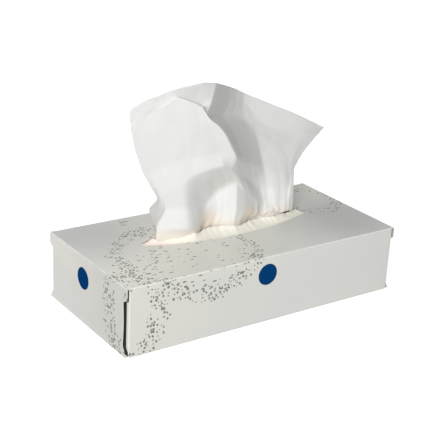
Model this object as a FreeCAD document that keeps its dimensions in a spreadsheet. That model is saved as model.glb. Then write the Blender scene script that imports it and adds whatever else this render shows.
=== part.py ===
import FreeCAD, Part
import Sketcher
import math
import os

# A flat box of facial tissues, lying on its bottom, with one tissue pulled up through the slit.
# Origin: middle of the carton's bottom face. X runs along the carton, -Y is its front, +Z is up.
# All sizes are in millimetres.

SIZES = [
    ("carton_length", 240.0, "outside of one end flap to outside of the other"),
    ("carton_width", 115.0, "front panel to back panel, outside"),
    ("carton_height", 52.5, "bottom panel to top panel, outside"),
    ("board", 0.45, "thickness of the paperboard"),
    ("fold_radius", 1.0, "outside radius of every fold in the board"),
    ("flap_spread", 0.55, "how far the glued end flaps stand off each other"),
    ("shoulder_drop", 8.5, "full-width part of the outer end flap, down from its fold"),
    ("shoulder_step", 5.5, "how far the outer end flap then narrows at each side"),
    ("shoulder_slant", 3.0, "drop over which it narrows"),
    ("foot_flare", 8.0, "height over which it widens again above the bottom"),
    ("edge_bow_radius", 150.0, "radius of the bowed side of the outer end flap"),
    ("flap_lift", 0.4, "free edges of the end flaps above the bottom and under the top"),
    ("inner_flap_reach", 34.0, "height of the inner end flap"),
    ("inner_flap_inset", 6.5, "inner end flap inside the carton's width, each side"),
    ("dust_flap_reach", 46.0, "dust flap, from the front or back panel inwards"),
    ("glue_flap_reach", 14.0, "seam flap glued up the inside of the back panel"),
    ("opening_length", 150.0, "lens-shaped opening in the top panel, along X"),
    ("opening_width", 32.0, "opening at its middle, along Y"),
    ("opening_tip_radius", 4.0, "rounding of the opening's two tips"),
    ("opening_shift_x", 2.5, "middle of the opening from the carton's middle"),
    ("opening_shift_y", 3.5, "middle of the opening from the carton's middle"),
    ("film", 0.15, "thickness of the film glued behind the opening"),
    ("film_margin_x", 18.0, "film beyond each tip of the opening"),
    ("film_margin_y", 14.0, "film beyond each side of the opening"),
    ("glue_line", 0.1, "glue between the film and the top panel"),
    ("slit_tip_gap", 5.5, "from each tip of the opening to the tip of the spread slit"),
    ("slit_side_gap", 3.0, "from each side of the opening to the spread slit"),
    ("lip_rise", 4.6, "how far the tissue pulls the lips of the slit up"),
    ("lip_clearance", 1.2, "flat film between the opening's edge and the foot of the lips"),
    ("pile_end_gap", 17.5, "from each end of the carton to the pile of interfolded tissues"),
    ("pile_side_gap", 4.0, "from the front and the back panel to the pile's folded edges"),
    ("pile_headroom", 9.05, "from the carton's top to the top of the pile"),
    ("pile_edge_radius", 7.0, "rounding of the pile's soft folded edges"),
    ("tissue", 0.5, "thickness of the pulled tissue with its loose plies"),
    ("tissue_span", 100.0, "half of the tissue's width"),
    ("tissue_rise", 118.0, "height of the tissue's free edge over the carton"),
    ("collar_step", 3.1, "height from one row of leading points to the next where it is gathered"),
    ("tail_turn", 3.7, "how far the tissue runs back where it turns onto the pile"),
    ("tail_reach", 46.0, "tissue still lying on the pile, back from there"),
    ("tail_clearance", 0.55, "middle of the tail's thickness over the pile"),
]

# Fold lines of the pulled tissue, from the left edge to the right edge: name, rounding, and points
# from the free edge down. A point has X and Y in percent of tissue_span, and its height over the
# carton's top in percent of tissue_rise. The last point is where the line enters the slit: its place
# along and across the slit, in percent of the slit's half length and half width.
# The rounding is 0 for a sharp crease and 1 for a soft bend.
FOLD_LINES = [
    ("left_edge", 1.00, [(-85, 4, 86), (-84, 5, 81), (-82, 6, 76), (-78, 8, 64), (-69, 10, 46),
        (-57, 9, 27), (-54, 26, 15), (-52, 26, 7), (-86, 12)]),
    ("left_a", 0.60, [(-83, 2, 89), (-80, 2, 86), (-78, 2, 81), (-73, 4, 66), (-64, 6, 47),
        (-57, 4, 28), (-51, 10, 18), (-52, 12, 8), (-90, 0)]),
    ("left_b", 0.40, [(-76, -3, 94), (-73, -3, 90), (-71, -3, 86), (-65, -2, 69), (-58, 1, 50),
        (-52, -2, 35), (-54, 5, 19), (-60, 2, 8), (-91, -8)]),
    ("left_c", 0.40, [(-68, -7, 97), (-65, -7, 94), (-64, -8, 90), (-56, -6, 72), (-51, -4, 53),
        (-45, -7, 39), (-45, -5, 21), (-42, -14, 11), (-51, -65)]),
    ("hollow", 0.70, [(-60, -10, 99), (-56, -10, 97), (-55, -11, 94), (-48, -11, 75), (-42, -8, 55),
        (-37, -11, 44), (-8, 9, 22), (-6, 12, 9), (-32, 27)]),
    ("low_ridge", 0.40, [(-50, -12, 101), (-45, -13, 94), (-46, -14, 91), (-40, -14, 76), (-32, -13, 57),
        (-28, -15, 48), (-19, -6, 31), (-23, -7, 17), (-35, -73)]),
    ("strip", 0.35, [(-36, -12, 102), (-37, -14, 91), (-38, -16, 87), (-32, -18, 78), (-21, -16, 59),
        (-18, -18, 50), (-9, -11, 37), (-8, -11, 16), (-14, -88)]),
    ("main_ridge", 0.30, [(-22, -10, 100), (-27, -13, 92), (-35, -17, 83), (-23, -20, 76), (-10, -21, 56),
        (-9, -15, 46), (-5, -16, 38), (-3, -15, 18), (-1, -88)]),
    ("hidden_fold", 0.80, [(2, 9, 93), (4, 11, 83), (-7, 5, 76), (-3, -4, 68), (4, -10, 49),
        (9, -4, 36), (7, -13, 28), (12, -9, 15), (14, 4)]),
    ("wall_rib", 0.60, [(14, 16, 89), (15, 16, 80), (8, 13, 73), (11, 5, 63), (16, -1, 45),
        (26, 5, 27), (24, -3, 18), (27, 0, 7), (25, 19)]),
    ("valley", 0.70, [(21, 18, 86), (22, 18, 78), (25, 19, 68), (25, 11, 58), (26, 4, 41),
        (36, 8, 22), (38, 5, 12), (36, 4, 4), (29, -73)]),
    ("rib", 0.60, [(29, 17, 82), (32, 20, 74), (37, 21, 64), (34, 13, 53), (37, 8, 36),
        (43, 8, 20), (43, 4, 12), (42, -2, 9), (50, -65)]),
    ("right_soft", 1.00, [(52, 16, 74), (54, 18, 66), (56, 19, 57), (50, 11, 46), (48, 6, 33),
        (48, 5, 19), (48, 1, 10), (47, -3, 7), (55, -58)]),
    ("right_panel", 1.00, [(67, 14, 68), (69, 16, 60), (70, 17, 52), (62, 10, 42), (57, 6, 30),
        (56, 3, 17), (53, -1, 9), (52, -4, 6), (63, -50)]),
    ("corner", 0.70, [(82, 13, 62), (83, 15, 56), (82, 16, 49), (71, 9, 41), (62, 4, 31),
        (60, 1, 19), (58, -2, 9), (57, -3, 5), (71, -35)]),
    ("right_edge", 1.00, [(99, 12, 55), (98, 14, 51), (94, 15, 47), (77, 9, 40), (67, 5, 32),
        (64, 2, 20), (64, 0, 9), (63, 0, 4), (77, -12)]),
]

# Levels of the same points from the free edge down, each with its rounding.
LEVEL_ROUNDING = [
    ("free edge", 1.0), ("over the crease band", 0.5), ("crease band", 0.4), ("shoulder", 1.0),
    ("tip of the ridge", 0.4), ("slanting crease", 0.3), ("under the crease", 0.4), ("hem", 0.6),
    ("mouth of the slit", 0.9), ("over the film", 1.0), ("film", 1.0), ("under the film", 1.0),
    ("turn onto the pile", 1.0), ("tail", 1.0), ("end of the tail", 1.0),
]
PERCENT = 0.01
JOIN = 0.001                # facet corners nearer than this are one
TAIL_SPREAD = 0.6           # how much wider the tail is at its end than the gather
TAIL_FLATTENING = 0.5       # share of the pleats' depth that is gone there
FACETS_ACROSS = 4           # facets from one fold line to the next
FACETS_DOWN = 3             # facets from one level to the next


class Size:
    """A length with its number and the sheet expression that gives it."""

    def __init__(self, value, text):
        self.value = value
        self.text = text

    def joined(self, other, sign, value):
        text = other.text if isinstance(other, Size) else repr(float(other))
        return Size(value, f"({self.text} {sign} {text})")

    def __add__(self, other):
        return self.joined(other, "+", self.value + number(other))

    def __sub__(self, other):
        return self.joined(other, "-", self.value - number(other))

    def __mul__(self, other):
        return self.joined(other, "*", self.value * number(other))

    def __truediv__(self, other):
        return self.joined(other, "/", self.value / number(other))

    def __neg__(self):
        return Size(-self.value, f"(0 - {self.text})")


def number(size):
    return size.value if isinstance(size, Size) else float(size)


GROUND = Size(0.0, "0")


def size_sheet(doc):
    # one row for each size: name, number, meaning; gives the sizes by name
    sheet = doc.addObject("Spreadsheet::Sheet", "sizes")
    named = {}
    for row, (alias, value, meaning) in enumerate(SIZES, start=1):
        sheet.set(f"A{row}", alias)
        sheet.set(f"B{row}", str(value))
        sheet.set(f"C{row}", meaning)
        sheet.setAlias(f"B{row}", alias)
        named[alias] = Size(value, f"sizes.{alias}")
    return named


def bind(feature, name, size):
    setattr(feature, name, number(size))
    feature.setExpression(name, size.text)


def plane_of(body, role):
    return [plane for plane in body.Origin.OriginFeatures if plane.Role == role][0]


def sketch_on(body, name, role, offset=None):
    # an empty sketch on one of the body's own planes, moved along its normal by offset
    sketch = body.newObject("Sketcher::SketchObject", name)
    sketch.AttachmentSupport = [(plane_of(body, role), "")]
    sketch.MapMode = "FlatFace"
    if offset is not None:
        sketch.AttachmentOffset = FreeCAD.Placement(FreeCAD.Vector(0, 0, offset.value), FreeCAD.Rotation())
        sketch.setExpression("AttachmentOffset.Base.z", offset.text)
    return sketch


def arc_between(start, end, radius):
    # the arc of less than half a turn from start to end: counter-clockwise for a positive radius
    turn = 1.0 if radius > 0 else -1.0
    chord = end - start
    middle = (start + end) * 0.5
    across = FreeCAD.Vector(-chord.y, chord.x, 0).normalize()
    away = math.sqrt(max(radius * radius - chord.Length ** 2 / 4, 0.0))
    centre = middle + across * (turn * away)
    first, last = (start, end) if turn > 0 else (end, start)
    angles = [math.atan2(point.y - centre.y, point.x - centre.x) for point in (first, last)]
    circle = Part.Circle(centre, FreeCAD.Vector(0, 0, 1), abs(radius))
    return Part.ArcOfCircle(circle, angles[0], angles[1])


def draw(sketch, corners):
    # a closed outline: each corner is (across, up) or, where an arc leaves it, (across, up, radius)
    points = [FreeCAD.Vector(number(corner[0]), number(corner[1]), 0) for corner in corners]
    count = len(corners)
    runs = []
    for place, corner in enumerate(corners):
        start, end = points[place], points[(place + 1) % count]
        if len(corner) == 3:
            run = sketch.addGeometry(arc_between(start, end, corner[2].value))
            forward = corner[2].value > 0
            sketch.addConstraint(Sketcher.Constraint("Radius", run, abs(corner[2].value)))
            radius_text = corner[2].text if forward else f"(0 - {corner[2].text})"
            sketch.setExpression(f"Constraints[{sketch.ConstraintCount - 1}]", radius_text)
            runs.append((run, 1 if forward else 2, 2 if forward else 1))
        else:
            runs.append((sketch.addGeometry(Part.LineSegment(start, end)), 1, 2))
    for place, (run, first, last) in enumerate(runs):
        next_run, next_first, _ = runs[(place + 1) % count]
        sketch.addConstraint(Sketcher.Constraint("Coincident", run, last, next_run, next_first))
        for kind, size in (("DistanceX", corners[place][0]), ("DistanceY", corners[place][1])):
            sketch.addConstraint(Sketcher.Constraint(kind, -1, 1, run, first, number(size)))
            sketch.setExpression(f"Constraints[{sketch.ConstraintCount - 1}]", size.text)


def pad(body, name, sketch, length, symmetric=False, backward=False):
    feature = body.newObject("PartDesign::Pad", name)
    feature.Profile = sketch
    bind(feature, "Length", length)
    if symmetric:
        feature.SideType = "Symmetric"
    feature.Reversed = backward
    return feature


def rounded_box_outline(half_width, low, high, radius):
    # corners of an upright rectangle with round corners, counter-clockwise from the lower left
    return [
        (-half_width + radius, low),
        (half_width - radius, low, radius),
        (half_width, low + radius),
        (half_width, high - radius, radius),
        (half_width - radius, high),
        (-half_width + radius, high, radius),
        (-half_width, high - radius),
        (-half_width, low + radius, radius),
    ]


def lens_outline(length, width, tip_radius, shift_x, shift_y):
    # two shallow arcs that meet in two tight tip arcs, tangent to each other
    tip = length / 2 - tip_radius
    rise = width / 2
    side_radius = (tip * tip + rise * rise - tip_radius * tip_radius) / ((rise - tip_radius) * 2.0)
    reach = side_radius - tip_radius
    touch_x = tip + tip_radius * tip / reach
    touch_y = tip_radius * (side_radius - rise) / reach
    return [
        (shift_x - touch_x, shift_y - touch_y, side_radius),
        (shift_x + touch_x, shift_y - touch_y, tip_radius),
        (shift_x + touch_x, shift_y + touch_y, side_radius),
        (shift_x - touch_x, shift_y + touch_y, tip_radius),
    ]


def add_tube(body, s, panel_half_length):
    # the four long panels, bent round the four long folds
    half_width = s["carton_width"] / 2
    sketch = sketch_on(body, "tube_profile", "YZ_Plane")
    draw(sketch, rounded_box_outline(half_width, GROUND, s["carton_height"], s["fold_radius"]))
    inner_radius = s["fold_radius"] - s["board"]
    inner_high = s["carton_height"] - s["board"]
    draw(sketch, rounded_box_outline(half_width - s["board"], s["board"], inner_high, inner_radius))
    pad(body, "tube", sketch, panel_half_length * 2.0, symmetric=True)


def folded_end(sketch, side, s, start, end_plane, level, far_level):
    # section of a panel that runs out to the end plane at level and folds there towards far_level
    radius, board = s["fold_radius"], s["board"]
    up = 1.0 if far_level.value > level.value else -1.0
    turn = 1.0 if side * up > 0 else -1.0
    bend = end_plane - radius
    draw(sketch, [
        (start * side, level),
        (bend * side, level, radius * turn),
        (end_plane * side, level + radius * up),
        (end_plane * side, far_level),
        ((end_plane - board) * side, far_level),
        ((end_plane - board) * side, level + radius * up, (radius - board) * -turn),
        (bend * side, level + board * up),
        (start * side, level + board * up),
    ])


def add_outer_flaps(body, s, panel_half_length):
    # flaps hinged on the top panel: a wide shoulder, then narrower with bowed sides, wide again below
    half_width = s["carton_width"] / 2
    end_plane = s["carton_length"] / 2
    shoulder = s["carton_height"] - s["shoulder_drop"]
    fold = sketch_on(body, "outer_flap_folds", "XZ_Plane")
    for side in (-1.0, 1.0):
        folded_end(fold, side, s, panel_half_length, end_plane, s["carton_height"], shoulder)
    pad(body, "outer_flap_shoulders", fold, half_width * 2.0, symmetric=True)
    waist = shoulder - s["shoulder_slant"]
    narrow = half_width - s["shoulder_step"]
    flare = s["foot_flare"]
    bow = s["edge_bow_radius"]
    outline = [
        (-half_width, shoulder),
        (-narrow, waist, bow),
        (-narrow, flare),
        (-half_width, s["flap_lift"]),
        (half_width, s["flap_lift"]),
        (narrow, flare, bow),
        (narrow, waist),
        (half_width, shoulder),
    ]
    ends = [("outer_flap_left", -end_plane, False), ("outer_flap_right", end_plane, True)]
    for name, offset, backward in ends:
        sketch = sketch_on(body, name + "_outline", "YZ_Plane", offset)
        draw(sketch, outline)
        pad(body, name, sketch, s["board"], backward=backward)


def add_inner_flaps(body, s, panel_half_length, end_plane):
    # flaps hinged on the bottom panel, glued behind the outer ones
    sketch = sketch_on(body, "inner_flap_folds", "XZ_Plane")
    for side in (-1.0, 1.0):
        folded_end(sketch, side, s, panel_half_length, end_plane, GROUND, s["inner_flap_reach"])
    width = s["carton_width"] - s["inner_flap_inset"] * 2.0
    pad(body, "inner_flaps", sketch, width, symmetric=True)


def add_dust_flaps(body, s, panel_half_length, end_plane):
    # four small flaps hinged on the ends of the front and back panels, folded in first
    low = s["board"] + s["flap_lift"]
    sketch = sketch_on(body, "dust_flap_sections", "XY_Plane", low)
    radius, board = s["fold_radius"], s["board"]
    half_width = s["carton_width"] / 2
    reach = half_width - s["dust_flap_reach"]
    start = panel_half_length - radius
    for side in (-1.0, 1.0):
        for wall in (-1.0, 1.0):
            turn = side * wall * -1.0
            bend = end_plane - radius
            draw(sketch, [
                (start * side, half_width * wall),
                (bend * side, half_width * wall, radius * turn),
                (end_plane * side, (half_width - radius) * wall),
                (end_plane * side, reach * wall),
                ((end_plane - board) * side, reach * wall),
                ((end_plane - board) * side, (half_width - radius) * wall, (radius - board) * -turn),
                (bend * side, (half_width - board) * wall),
                (start * side, (half_width - board) * wall),
            ])
    pad(body, "dust_flaps", sketch, s["carton_height"] - low * 2.0)


def add_glue_flap(body, s, panel_half_length):
    # the blank's seam: a strip glued up the inside of the back panel
    inside = s["carton_width"] / 2 - s["board"]
    sketch = sketch_on(body, "glue_flap_section", "YZ_Plane")
    draw(sketch, [
        (inside - s["board"], s["board"]),
        (inside, s["board"]),
        (inside, s["glue_flap_reach"]),
        (inside - s["board"], s["glue_flap_reach"]),
    ])
    pad(body, "glue_flap", sketch, (panel_half_length - s["fold_radius"]) * 2.0, symmetric=True)


def cut_opening(body, s):
    # the lens-shaped window in the top panel
    sketch = sketch_on(body, "opening_outline", "XY_Plane", s["carton_height"])
    draw(sketch, lens_outline(s["opening_length"], s["opening_width"], s["opening_tip_radius"],
                              s["opening_shift_x"], s["opening_shift_y"]))
    feature = body.newObject("PartDesign::Pocket", "opening")
    feature.Profile = sketch
    bind(feature, "Length", s["board"] * 4.0)


def make_carton(doc, s):
    # one folded and glued paperboard blank
    body = doc.addObject("PartDesign::Body", "carton")
    body.Label = "carton"
    inner_end = s["carton_length"] / 2 - s["board"] - s["flap_spread"]
    dust_end = inner_end - s["board"] - s["flap_spread"]
    panel_half_length = dust_end - s["fold_radius"]
    add_tube(body, s, panel_half_length)
    add_outer_flaps(body, s, panel_half_length)
    add_inner_flaps(body, s, panel_half_length, inner_end)
    add_dust_flaps(body, s, panel_half_length, dust_end)
    add_glue_flap(body, s, panel_half_length)
    cut_opening(body, s)
    return body


def make_stack(doc, s):
    # the pile of interfolded tissues left in the carton, as one soft block on the bottom panel
    body = doc.addObject("PartDesign::Body", "tissue_stack")
    body.Label = "tissue_stack"
    sketch = sketch_on(body, "pile_section", "YZ_Plane")
    half_width = s["carton_width"] / 2 - s["pile_side_gap"]
    draw(sketch, rounded_box_outline(half_width, s["board"], pile_top(s), s["pile_edge_radius"]))
    pad(body, "pile", sketch, s["carton_length"] - s["pile_end_gap"] * 2.0, symmetric=True)
    return body


def pile_top(s):
    return s["carton_height"] - s["pile_headroom"]


def slit_size(s):
    # length and width of the spread slit
    length = s["opening_length"] - s["slit_tip_gap"] * 2.0
    width = s["opening_width"] - s["slit_side_gap"] * 2.0
    return length, width


def film_underside(s):
    # height of the film's lower face where it is glued
    return s["carton_height"] - s["board"] - s["glue_line"] - s["film"]


def add_loft(body, name, kind, low_sketch, high_sketch):
    feature = body.newObject(f"PartDesign::{kind}Loft", name)
    feature.Profile = low_sketch
    feature.Sections = [high_sketch]
    return feature


def make_film(doc, s):
    # film glued under the top panel, its slit spread and its lips pulled up by the tissue
    body = doc.addObject("PartDesign::Body", "film_window")
    body.Label = "film_window"
    shift_x, shift_y, tip = s["opening_shift_x"], s["opening_shift_y"], s["opening_tip_radius"]
    low = film_underside(s)
    high = low + s["film"] + s["lip_rise"]
    half_x = s["opening_length"] / 2 + s["film_margin_x"]
    half_y = s["opening_width"] / 2 + s["film_margin_y"]
    foot_length = s["opening_length"] - s["lip_clearance"] * 2.0
    foot_width = s["opening_width"] - s["lip_clearance"] * 2.0
    skin = s["film"] * 2.0
    slit_length, slit_width = slit_size(s)

    plate = sketch_on(body, "film_plate", "XY_Plane", low)
    draw(plate, [(shift_x - half_x, shift_y - half_y), (shift_x + half_x, shift_y - half_y),
                 (shift_x + half_x, shift_y + half_y), (shift_x - half_x, shift_y + half_y)])
    pad(body, "film_sheet", plate, s["film"])
    outer_foot = sketch_on(body, "lip_foot", "XY_Plane", low)
    draw(outer_foot, lens_outline(foot_length, foot_width, tip, shift_x, shift_y))
    outer_top = sketch_on(body, "lip_edge", "XY_Plane", high)
    draw(outer_top, lens_outline(slit_length + skin, slit_width + skin, tip, shift_x, shift_y))
    add_loft(body, "lips", "Additive", outer_foot, outer_top)
    inner_foot = sketch_on(body, "lip_inner_foot", "XY_Plane", low)
    draw(inner_foot, lens_outline(foot_length - skin, foot_width - skin, tip, shift_x, shift_y))
    inner_top = sketch_on(body, "slit_edge", "XY_Plane", high)
    draw(inner_top, lens_outline(slit_length, slit_width, tip, shift_x, shift_y))
    add_loft(body, "slit", "Subtractive", inner_foot, inner_top)
    return body


def leading_points(s):
    # rows of points across the sheet, from its free edge down through the slit to its tail on the pile
    share, rise = number(s["tissue_span"]) * PERCENT, number(s["tissue_rise"]) * PERCENT
    top = number(s["carton_height"])
    rows = []
    for level in range(len(FOLD_LINES[0][2]) - 1):
        row = [line[2][level] for line in FOLD_LINES]
        rows.append([FreeCAD.Vector(x * share, y * share, top + height * rise) for x, y, height in row])
    pleats = slit_points(s)
    film_level, step = number(film_underside(s)), number(s["collar_step"])
    for steps_up in (2, 1, 0, -1):
        rows.append([FreeCAD.Vector(x, y, film_level + step * steps_up) for x, y in pleats])
    tail_level = number(pile_top(s) + s["tail_clearance"])
    turn, reach = number(s["tail_turn"]), number(s["tail_reach"])
    for out in (0.0, 0.5, 1.0):
        wider, flatter = 1.0 + TAIL_SPREAD * out, 1.0 - TAIL_FLATTENING * out
        back = turn + reach * out
        rows.append([FreeCAD.Vector(x * wider, y * flatter + back, tail_level) for x, y in pleats])
    return rows


def slit_points(s):
    # where the fold lines pass the slit, on a level
    half_length, half_width = (number(size) / 2 * PERCENT for size in slit_size(s))
    shift_x, shift_y = number(s["opening_shift_x"]), number(s["opening_shift_y"])
    marks = [line[2][-1] for line in FOLD_LINES]
    return [(shift_x + along * half_length, shift_y + across * half_width) for along, across in marks]


def corner_weights(roundings, place):
    # weights of the leading points at a place along their row: a straight run between two points, and
    # at each corner a parabola that reaches half of its rounding to both sides
    last = len(roundings) - 1
    corner = min(int(place + 0.5), last)
    past = place - corner
    reach = roundings[corner] / 2 if 0 < corner < last else 0.0
    if abs(past) < reach:
        before = (reach - past) ** 2 / (4 * reach)
        after = (reach + past) ** 2 / (4 * reach)
    else:
        before, after = max(-past, 0.0), max(past, 0.0)
    weights = [(corner - 1, before), (corner, 1.0 - before - after), (corner + 1, after)]
    return [(point, weight) for point, weight in weights if weight > 0.0]


def soft_sheet(points, roundings_down, roundings_across):
    # finer grid of points on the sheet that the leading points lead
    rows = (len(points) - 1) * FACETS_DOWN + 1
    columns = (len(points[0]) - 1) * FACETS_ACROSS + 1
    sheet = []
    for row in range(rows):
        down = corner_weights(roundings_down, row / FACETS_DOWN)
        line = []
        for column in range(columns):
            across = corner_weights(roundings_across, column / FACETS_ACROSS)
            spot = FreeCAD.Vector()
            for level, weight in down:
                for fold, share in across:
                    spot += points[level][fold] * (weight * share)
            line.append(spot)
        sheet.append(line)
    return sheet


def sheet_normal(sheet, row, column):
    # unit vector square to the sheet, from the neighbours of a point
    above, below = sheet[max(row - 1, 0)][column], sheet[min(row + 1, len(sheet) - 1)][column]
    left, right = sheet[row][max(column - 1, 0)], sheet[row][min(column + 1, len(sheet[0]) - 1)]
    return (below - above).cross(right - left).normalize()


def thickened(sheet, thickness):
    # closed solid of flat facets: a front and a back skin, each half the thickness off the sheet
    rows, columns = len(sheet) - 1, len(sheet[0]) - 1
    points, facets = [], []
    for way in (0.5, -0.5):
        for row in range(rows + 1):
            for column in range(columns + 1):
                points.append(sheet[row][column] + sheet_normal(sheet, row, column) * (way * thickness))
    wide = columns + 1
    skin = wide * (rows + 1)
    for row in range(rows):
        for column in range(columns):
            corner = row * wide + column
            a, b, c, d = corner, corner + wide, corner + wide + 1, corner + 1
            facets += [(a, b, c), (a, c, d)]
            facets += [(skin + a, skin + c, skin + b), (skin + a, skin + d, skin + c)]
    for here, there in rim_of(rows, columns):
        facets += [(here, skin + here, skin + there), (here, skin + there, there)]
    shell = Part.Shape()
    shell.makeShapeFromMesh((points, facets), JOIN)
    solid = Part.Solid(shell)
    if solid.Volume < 0:
        solid.reverse()
    return solid


def rim_of(rows, columns):
    # pairs of neighbouring points round the border of a grid, in order
    wide = columns + 1
    border = list(range(columns)) + [row * wide + columns for row in range(rows)]
    border += [rows * wide + column for column in range(columns, 0, -1)]
    border += [row * wide for row in range(rows, 0, -1)]
    return list(zip(border, border[1:] + border[:1]))


def make_tissue(doc, s):
    # the pulled tissue: pleated in the slit, opening out above it, its tail lying on the pile
    feature = doc.addObject("Part::Feature", "pulled_tissue")
    feature.Label = "pulled_tissue"
    roundings_down = [rounding for _, rounding in LEVEL_ROUNDING]
    roundings_across = [line[1] for line in FOLD_LINES]
    sheet = soft_sheet(leading_points(s), roundings_down, roundings_across)
    feature.Shape = thickened(sheet, number(s["tissue"]))
    feature.Placement = FreeCAD.Placement()
    return feature


def check_and_write(doc, parts):
    os.makedirs("parts", exist_ok=True)
    doc.recompute()
    for thing in doc.Objects:
        if "Invalid" in thing.State or "Error" in thing.State:
            raise RuntimeError(f"{thing.Name} failed: {thing.State}")
    for part in parts:
        if part.Shape.isNull() or not part.Shape.isValid():
            raise RuntimeError(f"{part.Label} has no valid shape")
        print(part.Label, "solids", len(part.Shape.Solids), "volume", round(part.Shape.Volume, 1))
    for part in parts:
        part.Shape.exportStep(f"parts/{part.Label}.step")


def main():
    doc = FreeCAD.newDocument("tissue_box")
    s = size_sheet(doc)
    doc.recompute()
    parts = [make_carton(doc, s), make_film(doc, s), make_stack(doc, s), make_tissue(doc, s)]
    check_and_write(doc, parts)


main()
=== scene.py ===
import math
import bpy
import numpy as np
from mathutils import Matrix, Vector


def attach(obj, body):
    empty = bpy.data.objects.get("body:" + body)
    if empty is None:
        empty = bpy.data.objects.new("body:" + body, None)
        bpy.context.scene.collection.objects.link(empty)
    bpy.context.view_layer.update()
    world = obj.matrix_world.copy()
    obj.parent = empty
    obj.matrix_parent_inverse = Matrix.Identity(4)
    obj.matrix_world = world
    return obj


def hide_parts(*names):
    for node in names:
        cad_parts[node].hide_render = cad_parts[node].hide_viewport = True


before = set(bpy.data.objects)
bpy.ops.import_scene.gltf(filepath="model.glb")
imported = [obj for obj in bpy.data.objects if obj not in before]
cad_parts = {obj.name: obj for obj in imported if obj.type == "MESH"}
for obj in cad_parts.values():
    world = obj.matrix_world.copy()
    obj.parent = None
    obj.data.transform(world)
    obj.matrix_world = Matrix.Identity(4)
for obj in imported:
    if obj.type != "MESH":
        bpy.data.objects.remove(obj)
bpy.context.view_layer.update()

# A flat box of facial tissues with one tissue pulled up through the slit.
# Metres, the frame's own: X along the carton, -Y its front, +Z up, origin under the middle of the carton.

mm = 0.001
print("frame loaded:", sorted(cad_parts))


# camera and light

cameraLook = {
    "azimuth": -35.54,      # degrees round the carton, 0 looks along +Y
    "elevation": 21.52,
    "roll": 3.05,
    "distance": 925.2,      # mm from the target
    "target": (47.8, 74.2, 24.0),
    "lens": 88.75,
    "clip": (0.01, 50),     # metres, nearest and farthest
}


def makeCamera(look):
    azimuth, elevation, roll = (math.radians(look[key]) for key in ("azimuth", "elevation", "roll"))
    back = Vector((math.sin(azimuth) * math.cos(elevation), -math.cos(azimuth) * math.cos(elevation),
                   math.sin(elevation)))
    right = Vector((math.cos(azimuth), math.sin(azimuth), 0))
    up = back.cross(right)
    right, up = right * math.cos(roll) + up * math.sin(roll), up * math.cos(roll) - right * math.sin(roll)
    data = bpy.data.cameras.new("camera")
    data.lens = look["lens"]
    data.clip_start, data.clip_end = look["clip"]
    camera = bpy.data.objects.new("camera", data)
    bpy.context.scene.collection.objects.link(camera)
    place = Vector(look["target"]) * mm + back * look["distance"] * mm
    camera.matrix_world = Matrix.Translation(place) @ Matrix((right, up, back)).transposed().to_4x4()
    bpy.context.scene.camera = camera


lightLook = {
    "world": 0.19,
    "aim": (0, 0, 0.08),
    "key": {"from": (-0.80, -0.84, 0.58), "size": 0.55, "power": 12.2},
    "front": {"from": (-0.50, -1.70, 0.35), "size": 0.9, "power": 2.2},
    "top": {"from": (-0.60, 0.10, 1.70), "size": 1.2, "power": 3.2},
    "back": {"from": (0.30, 1.60, 0.60), "size": 0.9, "power": 3.5},
}


def makeLight(name, look, aim):
    data = bpy.data.lights.new(name, "AREA")
    data.shape, data.size, data.energy = "DISK", look["size"], look["power"]
    lamp = bpy.data.objects.new(name, data)
    bpy.context.scene.collection.objects.link(lamp)
    place = Vector(look["from"])
    lamp.location = place
    lamp.rotation_euler = (Vector(aim) - place).to_track_quat("-Z", "Y").to_euler()


def makeWorld(strength):
    world = bpy.data.worlds.new("studio")
    bpy.context.scene.world = world
    world.use_nodes = True
    nodes, links = world.node_tree.nodes, world.node_tree.links
    nodes.clear()
    rays = nodes.new("ShaderNodeLightPath")
    seen = nodes.new("ShaderNodeMath")
    seen.operation = "MAXIMUM"
    links.new(rays.outputs["Is Camera Ray"], seen.inputs[0])
    links.new(rays.outputs["Is Glossy Ray"], seen.inputs[1])
    through = nodes.new("ShaderNodeMath")
    through.operation = "MAXIMUM"
    links.new(seen.outputs[0], through.inputs[0])
    links.new(rays.outputs["Is Transmission Ray"], through.inputs[1])
    level = nodes.new("ShaderNodeMapRange")
    level.inputs["To Min"].default_value = strength
    level.inputs["To Max"].default_value = 1.0
    links.new(through.outputs[0], level.inputs["Value"])
    shader = nodes.new("ShaderNodeBackground")
    shader.inputs["Color"].default_value = (1, 1, 1, 1)
    links.new(level.outputs["Result"], shader.inputs["Strength"])
    links.new(shader.outputs[0], nodes.new("ShaderNodeOutputWorld").inputs["Surface"])


makeCamera(cameraLook)
makeWorld(lightLook["world"])
for lampName in ("key", "front", "top", "back"):
    makeLight(lampName, lightLook[lampName], lightLook["aim"])
bpy.context.scene.view_settings.view_transform = "Standard"
print("camera and lights set")


# mesh and shader helpers

def linkNew(name, mesh):
    thing = bpy.data.objects.new(name, mesh)
    bpy.context.scene.collection.objects.link(thing)
    return thing


def gridMesh(name, points, uv=None):
    # points is rows x columns x 3, in metres: four-cornered faces between neighbours
    rows, columns = points.shape[:2]
    corner = (np.arange(rows - 1)[:, None] * columns + np.arange(columns - 1)[None, :]).ravel()
    quads = np.stack([corner, corner + columns, corner + columns + 1, corner + 1], axis=1)
    mesh = bpy.data.meshes.new(name)
    mesh.from_pydata(points.reshape(-1, 3).tolist(), [], quads.tolist())
    if uv is not None:
        layer = mesh.uv_layers.new(name="sheet")
        layer.data.foreach_set("uv", uv.reshape(-1, 2)[quads.ravel()].astype(np.float32).ravel())
    mesh.polygons.foreach_set("use_smooth", np.ones(len(mesh.polygons), bool))
    mesh.update()
    return mesh


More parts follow.
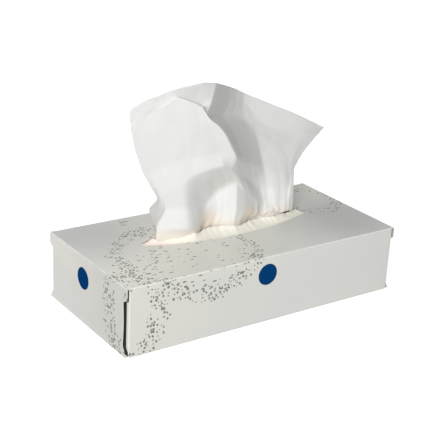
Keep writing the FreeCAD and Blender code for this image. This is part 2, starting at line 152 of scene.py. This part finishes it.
class Shader:
    # a material's or a group's tree, with short calls for its nodes

    def __init__(self, tree):
        self.nodes, self.links = tree.nodes, tree.links

    def put(self, kind, inputs=(), **settings):
        node = self.nodes.new("ShaderNode" + kind)
        for key, value in settings.items():
            setattr(node, key, value)
        for socket, value in dict(inputs).items():
            self.feed(node, socket, value)
        return node

    def feed(self, node, socket, value):
        if isinstance(value, bpy.types.NodeSocket):
            self.links.new(value, node.inputs[socket])
        else:
            node.inputs[socket].default_value = value

    def math(self, operation, first, second=None, clamp=False):
        inputs = {0: first} if second is None else {0: first, 1: second}
        return self.put("Math", inputs, operation=operation, use_clamp=clamp).outputs[0]

    def chain(self, operation, first, *others):
        # the operation on the first two values, then on its result and the next one, and so on
        for other in others:
            first = self.math(operation, first, other)
        return first

    def apart(self, first, second):
        return self.put("VectorMath", {0: first, 1: second}, operation="DISTANCE").outputs["Value"]

    def span(self, value, low, high, toLow=0.0, toHigh=1.0):
        # value between low and high, eased, to a number between toLow and toHigh
        node = self.put("MapRange", {"Value": value, "From Min": low, "From Max": high,
                                     "To Min": toLow, "To Max": toHigh}, interpolation_type="SMOOTHSTEP")
        return node.outputs["Result"]

    def mix(self, share, first, second):
        node = self.put("Mix", data_type="RGBA")
        self.feed(node, 0, share)
        for socket, value in ((6, first), (7, second)):
            self.feed(node, socket, (*value, 1) if isinstance(value, tuple) else value)
        return node.outputs[2]

    def noise(self, place, scale, detail):
        return self.put("TexNoise", {"Vector": place, "Scale": scale, "Detail": detail}).outputs["Fac"]

    def bump(self, height, strength, depth, below=None):
        # depth in mm; below is the normal of a coarser bump that this one lies on
        inputs = {"Strength": strength, "Distance": depth * mm, "Height": height}
        if below is not None:
            inputs["Normal"] = below
        return self.put("Bump", inputs).outputs[0]


def newMaterial(name):
    material = bpy.data.materials.new(name)
    material.use_nodes = True
    shader = Shader(material.node_tree)
    return material, shader, shader.nodes["Principled BSDF"]


def newGroup(name, takes, gives):
    tree = bpy.data.node_groups.new(name, "ShaderNodeTree")
    for socketName, kind, value in takes:
        socket = tree.interface.new_socket(socketName, in_out="INPUT", socket_type="NodeSocket" + kind)
        if value is not None:
            socket.default_value = value
    for socketName, kind in gives:
        tree.interface.new_socket(socketName, in_out="OUTPUT", socket_type="NodeSocket" + kind)
    shader = Shader(tree)
    taken = shader.nodes.new("NodeGroupInput").outputs
    given = shader.nodes.new("NodeGroupOutput").inputs
    return tree, shader, taken, given


def dress(thing, material):
    thing.data.materials.clear()
    thing.data.materials.append(material)


# the pulled tissue

tissueLook = {
    "columns": 250,
    "rows": 180,
    "thickness": 0.22,          # two plies with air between, mm
    "flatSheet": (205.0, 200.0),
    # the gather in the slit and the tail below it: heights over the floor, then how the tail lies, mm
    "slitTop": 54.5,
    "slitMiddle": 51.0,
    "slitUnder": 48.0,
    "tailLevel": 44.0,
    "tailReach": 46.0,
    "tailSpread": 0.6,          # the tail's end is wider than the gather by this share
    "tailTurn": (1.05, 0.8),    # the bend onto the pile over the gather, in X and in Y
    "tailShift": 3.7,
    "seed": 5,
    # depth of the slow waves and their lengths, mm
    "sway": 0.9,
    "swayLengths": (95, 70, 52),
    # depth of the faint creases over the whole sheet and the widths between them, mm; how far they wander
    "crumple": 0.45,
    "creaseWidths": (120, 88, 64, 47, 35),
    "creaseEdge": 3,            # a higher one makes the creases sharper
    "creaseWarp": 0.12,
    "creaseWarpLength": 73,
    # depth of the small pleats, their widths, where they start below the free edge and how they grow, mm
    "pleat": 0.22,
    "pleatWidths": (19, 13, 9.5),
    "pleatStart": 55,
    "pleatGrowth": 45,
    "pleatCurve": 1.5,
    "pleatWander": 1.2,
    "pleatWanderLength": 60,
    # the same for the pleats in the hidden tail
    "tailPleat": 4.0,
    "tailPleatWidth": 12,
    "tailPleatStart": 158,
    "tailPleatGrowth": 12,
}

# fold lines from the left edge to the right edge; each goes from the free edge down to the slit, mm
tissueFolds = [
    ("left_edge", [(-85, 4, 154), (-84, 5, 148), (-83, 6, 143), (-79, 8, 128), (-70, 10, 106),
      (-57, 9, 84), (-54, 26, 70), (-52, 26, 60), (-57, 5, 58)]),
    ("left_a", [(-83, 2, 158), (-80, 2, 154), (-79, 2, 148), (-74, 4, 130), (-65, 6, 108),
      (-57, 4, 86), (-53, 7, 75), (-53, 12, 64), (-60, 4, 58)]),
    ("left_b", [(-76, -3, 164), (-73, -3, 159), (-71, -3, 154), (-65, -2, 134), (-58, 1, 111),
      (-52, -2, 94), (-53, 5, 75), (-61, 4, 66), (-61, 2, 58)]),
    ("left_c", [(-68, -7, 167), (-65, -7, 163), (-64, -8, 158), (-56, -6, 138), (-51, -4, 115),
      (-45, -7, 98), (-39, -4, 77), (-41, -11, 64), (-33, -6, 58)]),
    ("hollow", [(-60, -10, 170), (-57, -10, 167), (-56, -11, 165), (-48, -11, 141), (-42, -8, 117),
      (-37, -11, 105), (-15, 6, 75), (-17, 3, 64), (-21, 2, 58)]),
    ("low_ridge", [(-49, -11, 172), (-42, -9, 160), (-46, -15, 162), (-40, -14, 143), (-32, -13, 120),
      (-28, -15, 109), (-8, 6, 81), (-8, 4, 64), (-12, 3, 58)]),
    ("strip", [(-33, -10, 173), (-34, -10, 156), (-38, -17, 158), (-32, -18, 145), (-21, -16, 122),
      (-18, -18, 111), (0, 2, 87), (0, 1, 66), (-4, 0, 58)]),
    ("main_ridge", [(-21, -8, 171), (-27, -11, 158), (-36, -17, 150), (-23, -20, 142), (-9, -20, 118),
      (-9, -15, 107), (3, -5, 92), (4, -5, 68), (3, -5, 58)]),
    ("hidden_fold", [(2, 8, 162), (2, 9, 151), (-9, 3, 142), (-4, -5, 133), (3, -11, 111),
      (10, -4, 95), (17, -2, 78), (20, -2, 64), (15, -2, 58)]),
    ("wall_rib", [(12.5, 14, 157.5), (13, 14, 147), (5, 10, 140), (8, 1, 128), (14, -5, 107),
      (26, 5, 84), (30, 2, 69), (30, 1, 59), (24, 1, 58)]),
    ("valley", [(19.5, 15.5, 154), (20, 16, 145), (20, 14, 134), (23, 7, 122), (25, 0, 102),
      (36, 8, 78), (38, 5, 67), (36, 3, 57), (31, 1, 58)]),
    ("rib", [(28, 16, 150), (29, 16, 141), (34, 16, 130), (32, 10, 117), (35, 5, 97),
      (43, 8, 76), (43, 4, 67), (45, 2, 61), (39, -2, 58)]),
    ("right_soft", [(51, 14, 140), (52, 15, 131), (53, 15, 121), (48, 8, 108), (47, 5, 92),
      (48, 5, 75), (48, 1, 64), (50, 0, 59), (41, -3, 58)]),
    ("right_panel", [(66, 13, 134), (67, 14, 125), (67, 14, 115), (60, 8, 103), (56, 4, 88),
      (56, 3, 73), (54, -1, 63), (54, -1, 58), (46, -2, 58)]),
    ("corner", [(82, 12, 126), (81, 12, 119), (79, 12, 112), (69, 7, 102), (62, 4, 90),
      (60, 1, 75), (58, -2, 63), (59, -1, 58), (52, -1, 58)]),
    ("right_edge", [(98, 11, 118), (96, 12, 114), (91, 12, 110), (76, 8, 101), (66, 5, 90),
      (64, 2, 77), (64, 0, 63), (64, 1, 57), (56, 2, 58)]),
]


# how far each fold line and each level rounds its corner: 0 is a sharp crease, 1 a soft bend
foldRounding = [1, 0.6, 0.4, 0.4, 0.5, 0.6, 0.15, 0.25, 0.5, 0.35, 0.4, 0.35, 1, 1, 0.7, 1]
levelRounding = [1, 0.5, 0.3, 1, 0.3, 0.25, 0.3, 0.5, 0.9, 1, 1, 1, 1, 1, 1]


def curveWeights(rounding, steps):
    # weights of the leading points at each step: straight between them, and at each corner a parabola
    # that reaches half of the rounding to both sides
    count = len(rounding)
    at = np.linspace(0, count - 1, steps)
    corner = np.clip(np.rint(at).astype(int), 0, count - 1)
    past = at - corner
    reach = np.array(rounding, float)[corner] / 2 * ((corner > 0) & (corner < count - 1))
    soft = np.maximum(reach, 1e-6)
    inside = np.abs(past) < reach
    before = np.where(inside, (soft - past) ** 2 / (4 * soft), np.maximum(-past, 0))
    after = np.where(inside, (soft + past) ** 2 / (4 * soft), np.maximum(past, 0))
    weights = np.zeros((steps, count))
    row = np.arange(steps)
    weights[row, np.maximum(corner - 1, 0)] += before
    weights[row, np.minimum(corner + 1, count - 1)] += after
    weights[row, corner] += 1 - before - after
    return weights


def tissuePoles(look):
    # leading points: fold lines x levels x 3, in mm, with the gather in the slit and the hidden tail below
    above = np.array([points for _, points in tissueFolds], float)
    gather = above[:, -1].copy()
    rows = [above]
    for level in ("slitTop", "slitMiddle", "slitUnder"):
        step = gather.copy()
        step[:, 2] = look[level]
        rows.append(step[:, None])
    turn = gather * (*look["tailTurn"], 0) + (0, look["tailShift"], look["tailLevel"])
    rows.append(turn[:, None])
    for share in (0.5, 1.0):
        wider = 1 + look["tailSpread"] * share
        tail = gather * (wider, 1, 0) + (0, look["tailReach"] * share, look["tailLevel"])
        rows.append(tail[:, None])
    return np.concatenate(rows, axis=1)


def tissueSurface(look):
    # point(u, v) = sum of the leading points, each times its weight across and its weight down
    poles = tissuePoles(look)
    across = curveWeights(foldRounding, look["columns"])
    down = curveWeights(levelRounding, look["rows"])
    return np.einsum("ui,vj,ijk->vuk", across, down, poles)


def surfaceNormals(points):
    normals = np.cross(np.gradient(points, axis=1), np.gradient(points, axis=0))
    return normals / np.maximum(np.linalg.norm(normals, axis=2, keepdims=True), 1e-9)


def wrinkles(look, across, down):
    # heights over the flat sheet in mm: slow sines, faint creases as 1 - |sin| along random directions,
    # and pleats that run down the sheet and deepen towards the slit
    circle = 2 * np.pi
    random = np.random.default_rng(look["seed"])
    height = np.zeros_like(across)
    for length in look["swayLengths"]:
        turn, phase = random.uniform(0, circle, 2)
        run = across * np.cos(turn) + down * np.sin(turn)
        height += look["sway"] / len(look["swayLengths"]) * np.sin(run * circle / length + phase)
    for width in look["creaseWidths"]:
        turn, phase, bend = random.uniform(0, circle, 3)
        run = (across * np.cos(turn) + down * np.sin(turn)) / width
        side = down * np.cos(turn) - across * np.sin(turn)
        warp = look["creaseWarp"] * np.sin(side * circle / look["creaseWarpLength"] + bend)
        crease = (1 - np.abs(np.sin((run + warp) * np.pi + phase))) ** look["creaseEdge"]
        height += look["crumple"] * (width / look["creaseWidths"][0]) ** 0.5 * crease
    gathered = np.clip((down - look["pleatStart"]) / look["pleatGrowth"], 0, 1) ** look["pleatCurve"]
    for width in look["pleatWidths"]:
        phase, bend = random.uniform(0, circle, 2)
        wander = look["pleatWander"] * np.sin(down * circle / look["pleatWanderLength"] + bend)
        pleats = np.sin((across + wander) * circle / width + phase)
        height += look["pleat"] * (width / look["pleatWidths"][0]) * gathered * pleats
    hidden = np.clip((down - look["tailPleatStart"]) / look["tailPleatGrowth"], 0, 1)
    height += look["tailPleat"] * hidden * np.abs(np.sin(across * np.pi / look["tailPleatWidth"]))
    return height


def makeTissue(look):
    points = tissueSurface(look)
    width, length = look["flatSheet"]
    flatAcross = np.linspace(0, width, look["columns"])
    across, down = np.meshgrid(flatAcross, np.linspace(0, length, look["rows"]))
    points = points + surfaceNormals(points) * wrinkles(look, across, down)[:, :, None]
    uv = np.stack([across, length - down], axis=2)
    sheet = linkNew("pulled_tissue_sheet", gridMesh("pulled_tissue_sheet", points * mm, uv * mm))
    wall = sheet.modifiers.new("plies", "SOLIDIFY")
    wall.thickness, wall.offset = look["thickness"] * mm, 0
    return sheet


tissue = makeTissue(tissueLook)
print("tissue made")


# the film behind the opening

filmShape = {
    "middle": (2.0, 3.5),
    # half length and half width: the lens that the slit stays within, the opening, the glued margin
    "slit": (66.5, 13.0),
    "opening": (75.0, 16.0),
    "outer": (92.0, 29.0),
    "corners": 8,               # how square the glued margin's outline is
    "gap": 1.5,                 # between the tissue and the film's edge at the slit
    "smoothing": 3,             # mm to both sides
    "edgeAt": 0.5,              # where the opening's edge is on the way out
    "bow": 0.6,                 # how far the slope bows across the slit
    "lipTop": 57.0,
    "under": 51.95,
    "riseReach": 0.52,          # the lip has come down to the board at this share of the way out
    "riseCurve": 1.4,
    "endDrop": 1.6,             # the lip is lower at the ends of the slit
    "endCurve": 6,
    # seed, waves round the loop and depth of the crinkles, and their share at the lip and on the slope
    "crinkles": [(4, (5, 9, 14, 23), 0.5), (9, (51, 68, 83), 0.22)],
    "lipCrinkle": 1.1,
    "slopeCrinkle": 0.25,
    "thickness": 0.08,
    "around": 420,
    "outward": 40,
}


def ripple(angle, seed, waves):
    # a sum of sines round the loop, each with a phase of its own: mostly between -1 and 1
    phases = np.random.default_rng(seed).uniform(0, 2 * np.pi, len(waves))
    return sum(np.sin(wave * angle + phase) for wave, phase in zip(waves, phases)) / len(waves) ** 0.5


def besideTissue(x, folds, gap, smoothing):
    # y of the film's edge in the slit: it keeps the gap to the tissue's line there, a little smoothed
    line = np.array([points[-1][:2] for _, points in folds], float)
    line = line[np.argsort(line[:, 0])]
    steps = [np.interp(x + shift, line[:, 0], line[:, 1]) for shift in (-smoothing, 0, smoothing)]
    return np.mean(steps, axis=0) + gap


def makeFilm(look):
    # each loop is a lens, x = half length * cos(a), y = half width * sin(a) * |sin(a)|, and the outer one
    # a rounded rectangle; the film falls from the lip at the slit to the board's underside
    angle = np.linspace(0, 2 * np.pi, look["around"])
    out = np.linspace(0, 1, look["outward"])[:, None]
    cosine, sine = np.cos(angle), np.sin(angle)
    lens = sine * np.abs(sine)
    box = np.sign(sine) * np.sqrt(np.clip(1 - np.abs(cosine) ** look["corners"], 0, 1))
    loops = ((look["slit"], lens), (look["opening"], lens), (look["outer"], box))
    inner, edge, outer = (np.stack([long * cosine, wide * shape], axis=1) for (long, wide), shape in loops)

    # at the slit the edge follows the tissue; its first two fold lines turn behind the others there, so
    # the front edge leaves them out
    x = inner[:, 0] + look["middle"][0]
    front = besideTissue(x, tissueFolds[2:], -look["gap"], look["smoothing"]) - look["middle"][1]
    back = besideTissue(x, tissueFolds, look["gap"], look["smoothing"]) - look["middle"][1]
    inner[:, 1] = np.where(sine < 0, np.maximum(inner[:, 1], front), np.minimum(inner[:, 1], back))

    toEdge = np.clip(out / look["edgeAt"], 0, 1)
    toOuter = np.clip((out - look["edgeAt"]) / (1 - look["edgeAt"]), 0, 1)
    flat = inner + (edge - inner) * toEdge[:, :, None] + (outer - edge) * toOuter[:, :, None]
    slope = np.sin(np.pi * toEdge)
    flat[:, :, 1] -= look["bow"] * slope * np.sign(sine)
    crinkle = sum(ripple(angle, seed, waves) * depth for seed, waves, depth in look["crinkles"])
    lip = look["lipTop"] + crinkle * look["lipCrinkle"] - look["endDrop"] * np.abs(cosine) ** look["endCurve"]
    rise = (1 - np.clip(out / look["riseReach"], 0, 1)) ** look["riseCurve"]
    height = look["under"] + (lip - look["under"]) * rise + look["slopeCrinkle"] * crinkle * slope
    points = np.dstack([flat + look["middle"], height])
    film = linkNew("film_lips", gridMesh("film_lips", points[::-1] * mm))
    wall = film.modifiers.new("film", "SOLIDIFY")
    wall.thickness, wall.offset = look["thickness"] * mm, 0
    return film


film = makeFilm(filmShape)
print("film made")


# materials

tissueFinish = {
    "paper": (0.745, 0.745, 0.735),
    "faded": 0.965,             # brightness of the darker clouds
    "fadedShare": 0.35,
    "cloudScale": 45.0,
    "cloudSpan": (0.35, 0.65),
    # painted warm light: light bounced inside the carton tints the sheet low down, near the slit
    "paintedWarmLight": (0.80, 0.70, 0.57),
    "paintedWarmLightShare": 0.6,
    "paintedWarmLightFrom": 56.0,
    "paintedWarmLightTo": 66.0,
    # middle in mm, radius and strength of the places where light through the film warms the folds
    "blushes": [((-17, 0, 58), 17, 0.9), ((20, 0, 60), 13, 0.8)],
    "blushCore": 0.3,           # share of the radius at full strength
    "roughness": 0.9,
    "sheen": 0.15,
    "creping": 0.12,
    "crepeScale": 900.0,
    "crepeDepth": 0.4,          # mm
}


def tissueMaterial(look):
    material, shader, surface = newMaterial("soft_tissue_paper")
    place = shader.put("TexCoord").outputs["Object"]
    height = shader.put("SeparateXYZ", {0: place}).outputs["Z"]
    # painted warm light: low on the sheet near the slit, and at the blushes where light comes through the
    # film
    paintedWarmth = shader.span(height, look["paintedWarmLightFrom"] * mm, look["paintedWarmLightTo"] * mm, look["paintedWarmLightShare"], 0.0)
    for middle, radius, most in look["blushes"]:
        away = shader.apart(place, tuple(size * mm for size in middle))
        blush = shader.span(away, look["blushCore"] * radius * mm, radius * mm, most, 0.0)
        paintedWarmth = shader.math("MAXIMUM", paintedWarmth, blush)
    cloud = shader.noise(place, look["cloudScale"], 3.0)
    faded = tuple(look["faded"] * channel for channel in look["paper"])
    paper = shader.mix(shader.span(cloud, *look["cloudSpan"], 0.0, look["fadedShare"]), look["paper"], faded)
    shader.feed(surface, "Base Color", shader.mix(paintedWarmth, paper, look["paintedWarmLight"]))
    shader.feed(surface, "Roughness", look["roughness"])
    shader.feed(surface, "Sheen Weight", look["sheen"])
    crepe = shader.noise(shader.put("UVMap", uv_map="sheet").outputs[0], look["crepeScale"], 2.0)
    shader.feed(surface, "Normal", shader.bump(crepe, look["creping"], look["crepeDepth"]))
    return material


stackLook = {
    "paper": (0.84, 0.84, 0.83),
    # the gap colour is painted shade between the sheets' edges
    "gap": (0.60, 0.60, 0.58),
    "gapShadeShare": 0.35,
    "bands": 0.86,              # the bands of sheet edges repeat every 2 pi times this, mm
    "wander": 1.5,
    "roughness": 0.95,
    "relief": 0.5,
    "reliefDepth": 0.4,         # mm
}


def stackMaterial(look):
    material, shader, surface = newMaterial("stacked_tissue")
    place = shader.put("TexCoord").outputs["Object"]
    scale = 1 / (look["bands"] * mm * 20)       # the wave texture runs 20 radians for each 1 of its scale
    edges = shader.put("TexWave", {"Vector": place, "Scale": scale, "Distortion": look["wander"]},
                       bands_direction="Z").outputs["Fac"]
    # painted shade in the gaps between the sheets' edges
    colour = shader.mix(shader.span(edges, 0.0, look["gapShadeShare"]), look["gap"], look["paper"])
    shader.feed(surface, "Base Color", colour)
    shader.feed(surface, "Roughness", look["roughness"])
    shader.feed(surface, "Normal", shader.bump(edges, look["relief"], look["reliefDepth"]))
    return material


sprinkleLook = {
    "least": 0.5,               # size of the smallest speck, and how much larger the largest is
    "larger": 0.7,
    "softEdge": 0.06,
}


def sprinkleGroup(look):
    # specks on the unfolded board: takes a place in mm and how dense they are, and gives 0 to 1
    sockets = [("Place", "Vector", None), ("Dense", "Float", 0.5), ("Spacing", "Float", 3.0),
               ("Speck", "Float", 0.6)]
    tree, shader, takes, gives = newGroup("sprinkle", sockets, [("Ink", "Float")])
    scale = shader.math("DIVIDE", 1.0, takes["Spacing"])
    cells = shader.put("TexVoronoi", {"Vector": takes["Place"], "Scale": scale}, voronoi_dimensions="2D")
    chance = shader.put("SeparateColor", {0: cells.outputs["Color"]}).outputs
    kept = shader.math("LESS_THAN", chance[0], takes["Dense"])
    size = shader.put("Math", {0: chance[1], 1: look["larger"], 2: look["least"]}, operation="MULTIPLY_ADD")
    radius = shader.chain("MULTIPLY", takes["Speck"], scale, size.outputs[0])
    inside = shader.math("SUBTRACT", radius, cells.outputs["Distance"])
    ink = shader.span(inside, 0.0, look["softEdge"])
    shader.links.new(shader.math("MULTIPLY", ink, kept), gives["Ink"])
    return tree


boardLook = {
    "pearl": (0.81, 0.80, 0.72),
    "cool": (0.76, 0.765, 0.735),
    "cloudScale": 9.0,
    "cloudSpan": (0.35, 0.65),
    # colour of the painted shade on the board
    "paintedShadeColour": (0.51, 0.51, 0.50),
    # near-black painted shadow for the board inside the carton
    "paintedInsideShadow": (0.05, 0.045, 0.035),
    "ink": (0.12, 0.12, 0.09),
    "inkShare": 0.85,
    # colour of the paler folds: wear, and a painted highlight
    "foldWearAndHighlight": (0.93, 0.93, 0.92),
    "blue": (0.002, 0.048, 0.175),
    "discRadius": 8.3,
    "frontDisc": (-2.5, 38.5),      # X and Z on the front panel
    "endDisc": (5.0, 35.5),         # Y and Z on the left end
    "glossSpan": (0.3, 0.7),
    "roughness": (0.35, 0.46),
    "specular": 0.3,
    "coat": 0.08,
    "coatRoughness": 0.22,
    "top": 52.5,                    # height of the top's folds, mm
    # planes just inside the carton's faces, in mm: past them a point is on that face
    "topPast": 52.4,
    "endPast": 119.2,
    "longPast": 57.0,
    # the scored folds round the top, from these planes on, and the paler board on them: wear, and a painted
    # highlight along the folds
    "foldHigh": 51.75,
    "foldDeep": 56.75,
    "foldWide": 119.25,
    "wearAndHighlightScale": 160.0,
    "wearAndHighlight": (0.3, 0.6, 0.1, 0.55),
    # the unprinted board, coloured near black as painted shadow: behind the end flaps, behind the panels, and
    # not the underside
    "behindFlaps": 119.0,
    "behindPanels": (116.9, 56.9),
    "underTop": 52.3,
    "underside": 0.03,
    "gapShade": 54.0,               # the dark gap beside an end flap's narrow part ends here, in Y
    "gapShadeMost": 56.6,
    "footFlare": (8.0, 0.4),        # in Z: the end flap is as much wider at its foot and its shoulder
    "shoulder": (41.0, 44.0),
    "flapStep": 5.5,
    # middle, radius and strength of the spots of painted shade on the top
    "paintedShadeSpots": [((92, -20), 75, 0.9), ((-112, 50), 95, 1.0)],
    "paintedShadeCore": 0.1,
    # painted shade: an end darkens from one Y to another, the front from one X to another: from, to, share at
    # both
    "endPaintedShade": (57.5, -40.0, 0.0, 0.6),
    "frontPaintedShade": (110.0, -120.0, 0.0, 0.35),
    # centre and radius of each drift of specks on the unfolded board, how wide it is and how dense
    "drifts": [((-52, -24), 51, 9, 1.0), ((-137, -76), 44, 11, 0.95), ((97, 22), 24, 8, 0.7),
               ((-150, 30), 90, 9, 0.3)],
    "driftCore": 0.25,
    "patchScale": 0.07,
    "patches": (0.3, 0.6, 0.35, 1.0),
    "specks": {"Spacing": 2.6, "Speck": 1.05},
    # middle, radius and density of the dashes, and how specks are turned, in radians, and stretched into them
    "dashSpot": ((-50, -36), 46, 0.55),
    "dashCore": 0.8,
    "dashTurn": 0.15,
    "dashStretch": 0.34,
    "dashes": {"Spacing": 3.4, "Speck": 0.62},
    # scale, strength and depth in mm
    "waves": (22.0, 0.35, 1.2),
    "grain": (1500.0, 0.06, 0.2),
}


def boardMaterial(look):
    material, shader, surface = newMaterial("pearly_printed_board")
    place = shader.put("TexCoord").outputs["Object"]
    inMm = shader.put("VectorMath", {0: place, "Scale": 1 / mm}, operation="SCALE").outputs[0]
    x, y, z = shader.put("SeparateXYZ", {0: inMm}).outputs
    wide, deep = shader.math("ABSOLUTE", x), shader.math("ABSOLUTE", y)
    onEnd = shader.math("GREATER_THAN", wide, look["endPast"])
    onLong = shader.math("MULTIPLY", shader.math("GREATER_THAN", deep, look["longPast"]),
                         shader.math("SUBTRACT", 1.0, onEnd))

    # the unfolded board: a side continues the top beyond its fold
    fall = shader.math("SUBTRACT", look["top"], z)
    unrolled = {}
    for axis, (value, face) in enumerate(((x, onEnd), (y, onLong))):
        past = shader.chain("MULTIPLY", fall, face, shader.math("SIGN", value))
        unrolled[axis] = shader.math("ADD", value, past)
    unfolded = shader.put("CombineXYZ", unrolled).outputs[0]

    # specks in drifting rings, and short dashes inside the first ring
    dense = 0.0
    for middle, radius, width, most in look["drifts"]:
        off = shader.math("ABSOLUTE", shader.math("SUBTRACT", shader.apart(unfolded, (*middle, 0)), radius))
        drift = shader.span(off, width * look["driftCore"], width, most, 0.0)
        dense = shader.math("MAXIMUM", dense, drift)
    patchy = shader.span(shader.noise(unfolded, look["patchScale"], 1.0), *look["patches"])
    sprinkle = sprinkleGroup(sprinkleLook)
    specks = shader.put("Group", {"Place": unfolded, "Dense": shader.math("MULTIPLY", dense, patchy),
                                  **look["specks"]}, node_tree=sprinkle)
    middle, radius, most = look["dashSpot"]
    away = shader.apart(unfolded, (*middle, 0))
    turned = shader.put("Mapping", {"Vector": unfolded, "Rotation": (0, 0, look["dashTurn"]),
                                    "Scale": (look["dashStretch"], 1, 1)}).outputs[0]
    dashes = shader.put("Group", {"Place": turned,
                                  "Dense": shader.span(away, radius * look["dashCore"], radius, most, 0.0),
                                  **look["dashes"]}, node_tree=sprinkle)
    ink = shader.math("MAXIMUM", specks.outputs["Ink"], dashes.outputs["Ink"])

    # two plain discs, on the front and on the left end
    discs = []
    for middle, across, outwards, face in ((look["frontDisc"], x, y, onLong), (look["endDisc"], y, x, onEnd)):
        away = shader.apart(shader.put("CombineXYZ", {0: across, 1: z}).outputs[0], (*middle, 0))
        discs.append(shader.chain("MULTIPLY", shader.math("LESS_THAN", away, look["discRadius"]), face,
                                  shader.math("LESS_THAN", outwards, 0.0)))
    disc = shader.math("MAXIMUM", *discs)

    # the board itself: cloudy pearl, with painted shade on the top, the ends and the long sides
    cloud = shader.noise(place, look["cloudScale"], 2.0)
    colour = shader.mix(shader.span(cloud, *look["cloudSpan"]), look["pearl"], look["cool"])
    paintedSpotShade = 0.0
    for middle, radius, most in look["paintedShadeSpots"]:
        away = shader.apart(unfolded, (*middle, 0))
        paintedSpotShade = shader.math("MAXIMUM", paintedSpotShade, shader.span(away, radius * look["paintedShadeCore"], radius, most, 0.0))
    topPaintedShade = shader.math("MULTIPLY", paintedSpotShade, shader.math("GREATER_THAN", z, look["topPast"]))
    endPaintedShade = shader.math("MULTIPLY", shader.span(y, *look["endPaintedShade"]), onEnd)
    frontPaintedShade = shader.math("MULTIPLY", shader.span(x, *look["frontPaintedShade"]), onLong)
    colour = shader.mix(shader.chain("MAXIMUM", topPaintedShade, endPaintedShade, frontPaintedShade), colour, look["paintedShadeColour"])

    # print, then the paler scored folds: wear, and a painted highlight along them
    colour = shader.mix(shader.math("MULTIPLY", ink, look["inkShare"]), colour, look["ink"])
    colour = shader.mix(disc, colour, look["blue"])
    scored = shader.math("MAXIMUM", shader.math("GREATER_THAN", deep, look["foldDeep"]),
                         shader.math("GREATER_THAN", wide, look["foldWide"]))
    wornAndHighlit = shader.span(shader.noise(place, look["wearAndHighlightScale"], 2.0), *look["wearAndHighlight"])
    atFold = shader.chain("MULTIPLY", shader.math("GREATER_THAN", z, look["foldHigh"]), scored, wornAndHighlit)
    colour = shader.mix(atFold, colour, look["foldWearAndHighlight"])

    # unprinted inside, coloured near black as painted shadow, as seen beside the end flaps
    flare = shader.math("ADD", shader.span(z, *look["footFlare"], 0.0, look["flapStep"]),
                        shader.span(z, *look["shoulder"], 0.0, look["flapStep"]))
    gapEnd = shader.math("MINIMUM", shader.math("ADD", flare, look["gapShade"]), look["gapShadeMost"])
    behind = [shader.math("MULTIPLY", shader.math("LESS_THAN", wide, endWide),
                          shader.math("LESS_THAN", deep, endDeep))
              for endWide, endDeep in ((look["behindFlaps"], gapEnd), look["behindPanels"])]
    inside = shader.math("MULTIPLY", shader.math("MAXIMUM", *behind),
                         shader.math("LESS_THAN", z, look["underTop"]))
    underside = shader.math("LESS_THAN", z, look["underside"])
    colour = shader.mix(shader.math("SUBTRACT", inside, underside, clamp=True), colour, look["paintedInsideShadow"])
    shader.feed(surface, "Base Color", colour)

    # gloss: the discs are matt, the rest has a thin coat
    shader.feed(surface, "Roughness", shader.span(cloud, *look["glossSpan"], *look["roughness"]))
    for socket, plain in (("Specular IOR Level", look["specular"]), ("Coat Weight", look["coat"])):
        shader.feed(surface, socket, shader.put("Mix", {0: disc, 2: plain, 3: 0.0}).outputs[0])
    shader.feed(surface, "Coat Roughness", look["coatRoughness"])

    # slow waves of the panels, and the board's fine grain over them
    scale, strength, depth = look["waves"]
    slow = shader.bump(shader.noise(place, scale, 1.0), strength, depth)
    scale, strength, depth = look["grain"]
    fine = shader.bump(shader.noise(place, scale, 2.0), strength, depth, slow)
    shader.feed(surface, "Normal", fine)
    return material


filmLook = {
    "milk": (0.92, 0.89, 0.79),
    "pink": (0.86, 0.76, 0.70),
    "pinkEnd": (-62.0, -45.0, 0.9, 0.0),    # the left end is pinker: from X to X in mm, share at both
    "pinkScale": 30.0,
    "pinkClouds": (0.45, 0.75, 0.0, 0.5),
    "roughness": 0.35,
    "crinkleScale": 180.0,
    "crinkle": 0.35,
    "crinkleDepth": 0.8,                    # mm
}


def filmMaterial(look):
    material, shader, surface = newMaterial("soft_milky_film")
    place = shader.put("TexCoord").outputs["Object"]
    start, stop, most, least = look["pinkEnd"]
    along = shader.put("SeparateXYZ", {0: place}).outputs["X"]
    left = shader.span(along, start * mm, stop * mm, most, least)
    clouds = shader.span(shader.noise(place, look["pinkScale"], 2.0), *look["pinkClouds"])
    share = shader.math("MAXIMUM", left, clouds)
    shader.feed(surface, "Base Color", shader.mix(share, look["milk"], look["pink"]))
    shader.feed(surface, "Roughness", look["roughness"])
    crinkle = shader.noise(place, look["crinkleScale"], 3.0)
    shader.feed(surface, "Normal", shader.bump(crinkle, look["crinkle"], look["crinkleDepth"]))
    return material


dress(tissue, tissueMaterial(tissueFinish))
dress(film, filmMaterial(filmLook))
dress(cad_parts["carton"], boardMaterial(boardLook))
dress(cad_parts["tissue_stack"], stackMaterial(stackLook))
print("materials set")


# floor

floorLook = {
    "half": 6.0,                # metres from the middle to an edge
    "white": 0.60,
    "glow": 0.86,               # what the camera sees of it besides its own colour
}


def makeFloor(look):
    half = look["half"]
    corners = np.array([[[-half, -half, 0], [half, -half, 0]], [[-half, half, 0], [half, half, 0]]])
    mesh = gridMesh("floor", corners[::-1])
    floor = linkNew("floor", mesh)
    material, shader, surface = newMaterial("white_paper_floor")
    shader.feed(surface, "Base Color", (look["white"],) * 3 + (1,))
    shader.feed(surface, "Roughness", 1.0)
    rays = shader.put("LightPath").outputs
    seen = shader.math("MAXIMUM", rays["Is Camera Ray"], rays["Is Glossy Ray"])
    strength = shader.math("MULTIPLY", seen, look["glow"])
    glow = shader.put("Emission", {"Color": (1, 1, 1, 1), "Strength": strength})
    total = shader.put("AddShader", {0: surface.outputs[0], 1: glow.outputs[0]})
    shader.links.new(total.outputs[0], shader.nodes["Material Output"].inputs["Surface"])
    dress(floor, material)


makeFloor(floorLook)

for thing, node, slotName in ((tissue, "pulled_tissue", "tissue"), (film, "film_window", "film")):
    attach(thing, "root")
    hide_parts(node)
